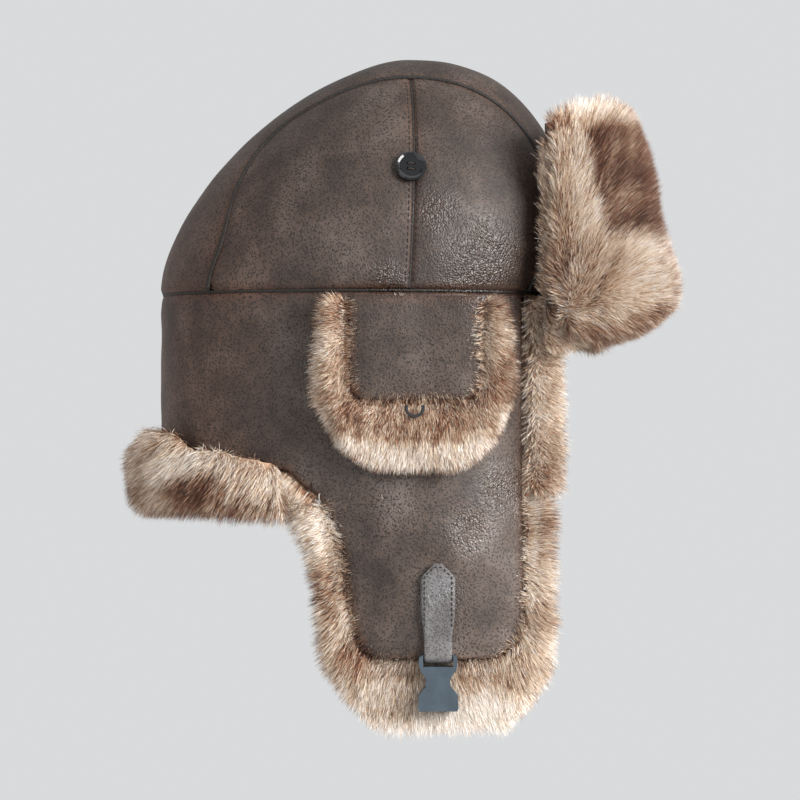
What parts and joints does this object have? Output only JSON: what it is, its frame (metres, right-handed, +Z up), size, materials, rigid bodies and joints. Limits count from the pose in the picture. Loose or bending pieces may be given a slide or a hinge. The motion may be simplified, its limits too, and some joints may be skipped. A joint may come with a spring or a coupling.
{
  "type": "trapper hat",
  "caption": "Trapper hat: sewn leather crown and band, fur-lined ear flaps with a chin buckle, fur-rimmed ear covers held by buttons, turned-up fur visor.",
  "frame": {"origin": "centre of the head opening, level with the seam between crown and band", "axes": "+Z up, -Y towards the wearer's front, -X towards the wearer's right"},
  "size_m": [0.2272, 0.3162, 0.396],
  "materials": {
    "brown_leather": "distressed, fine pits, satin with worn glossy patches",
    "tan_fur": "long-pile fur, cream with rust-brown streaks and dark tips",
    "wadding": "soft batting",
    "lining_cloth": "quilted satin",
    "black_plastic": "polished",
    "slate_plastic": "fine moulded satin",
    "black_webbing": "woven"
  },
  "bodies": {
    "shell": {"crown_top_strip": "brown_leather", "crown_panel_rear_right": "brown_leather", "crown_panel_front_right": "brown_leather", "crown_panel_rear_left": "brown_leather", "crown_panel_front_left": "brown_leather", "crown_padding": "wadding", "crown_lining": "lining_cloth", "button_right": "black_plastic", "button_left": "black_plastic", "side_band_right": "brown_leather", "side_band_left": "brown_leather", "front_band": "brown_leather", "band_fur_lining": "tan_fur", "neck_fur_roll": "tan_fur", "temple_fur_right": "tan_fur", "temple_fur_left": "tan_fur"},
    "ear_flap_right": {"ear_flap_leather_right": "brown_leather", "ear_flap_fur_right": "tan_fur", "buckle_tab_right": "brown_leather"},
    "ear_flap_left": {"ear_flap_leather_left": "brown_leather", "ear_flap_fur_left": "tan_fur", "buckle_tab_left": "brown_leather"},
    "ear_cover_right": {"ear_cover_leather_right": "brown_leather", "ear_cover_fur_right": "tan_fur", "ear_cover_loop_right": "black_webbing"},
    "ear_cover_left": {"ear_cover_leather_left": "brown_leather", "ear_cover_fur_left": "tan_fur", "ear_cover_loop_left": "black_webbing"},
    "visor": {"visor_leather": "brown_leather", "visor_stiffener": "wadding", "visor_fur": "tan_fur"},
    "buckle_socket": {"buckle_socket": "slate_plastic"},
    "chin_strap": {"chin_strap": "black_webbing"},
    "buckle_plug": {"buckle_plug": "slate_plastic"},
    "plug_prong_front": {"plug_prong_front": "slate_plastic"},
    "plug_prong_rear": {"plug_prong_rear": "slate_plastic"}
  },
  "joints": [
    {"name": "ear_flap_right_fold", "type": "hinge", "parent": "shell", "child": "ear_flap_right", "pos_m": [-0.1, -0.045, -0.112], "axis": [0, 1, 0], "range_deg": [0, 140], "stiffness_Nm_per_rad": 0.12, "springref_deg": -8.02},
    {"name": "ear_cover_right_fold", "type": "hinge", "parent": "shell", "child": "ear_cover_right", "pos_m": [-0.106, -0.036, -0.003], "axis": [0, 1, 0], "range_deg": [0, 150], "stiffness_Nm_per_rad": 0.02, "springref_deg": -14.32},
    {"name": "ear_flap_left_fold", "type": "hinge", "parent": "shell", "child": "ear_flap_left", "pos_m": [0.1, -0.045, -0.112], "axis": [0, -1, 0], "range_deg": [0, 140], "stiffness_Nm_per_rad": 0.12, "springref_deg": -8.02},
    {"name": "ear_cover_left_fold", "type": "hinge", "parent": "shell", "child": "ear_cover_left", "pos_m": [0.106, -0.036, -0.003], "axis": [0, -1, 0], "range_deg": [0, 150], "stiffness_Nm_per_rad": 0.02, "springref_deg": -14.32},
    {"name": "visor_fold", "type": "hinge", "parent": "shell", "child": "visor", "pos_m": [0, -0.12, -0.029], "axis": [1, 0, 0], "range_deg": [0, 75]},
    {"name": "buckle_socket_swing", "type": "hinge", "parent": "ear_flap_right", "child": "buckle_socket", "pos_m": [-0.0927, -0.0485, -0.202], "axis": [0, 1, 0], "range_deg": [0, 110]},
    {"name": "chin_strap_swing", "type": "hinge", "parent": "ear_flap_left", "child": "chin_strap", "pos_m": [0.092, -0.0485, -0.202], "axis": [0, -1, 0], "range_deg": [0, 100]},
    {"name": "buckle_plug_swing", "type": "hinge", "parent": "chin_strap", "child": "buckle_plug", "pos_m": [0.0914, -0.0485, -0.229], "axis": [0, -1, 0], "range_deg": [0, 90]},
    {"name": "plug_prong_front_flex", "type": "hinge", "parent": "buckle_plug", "child": "plug_prong_front", "pos_m": [0.0914, -0.0574, -0.2436], "axis": [1, 0, 0], "range_deg": [0, 6], "stiffness_Nm_per_rad": 0.05},
    {"name": "plug_prong_rear_flex", "type": "hinge", "parent": "buckle_plug", "child": "plug_prong_rear", "pos_m": [0.0914, -0.0396, -0.2436], "axis": [-1, 0, 0], "range_deg": [0, 6], "stiffness_Nm_per_rad": 0.05}
  ]
}
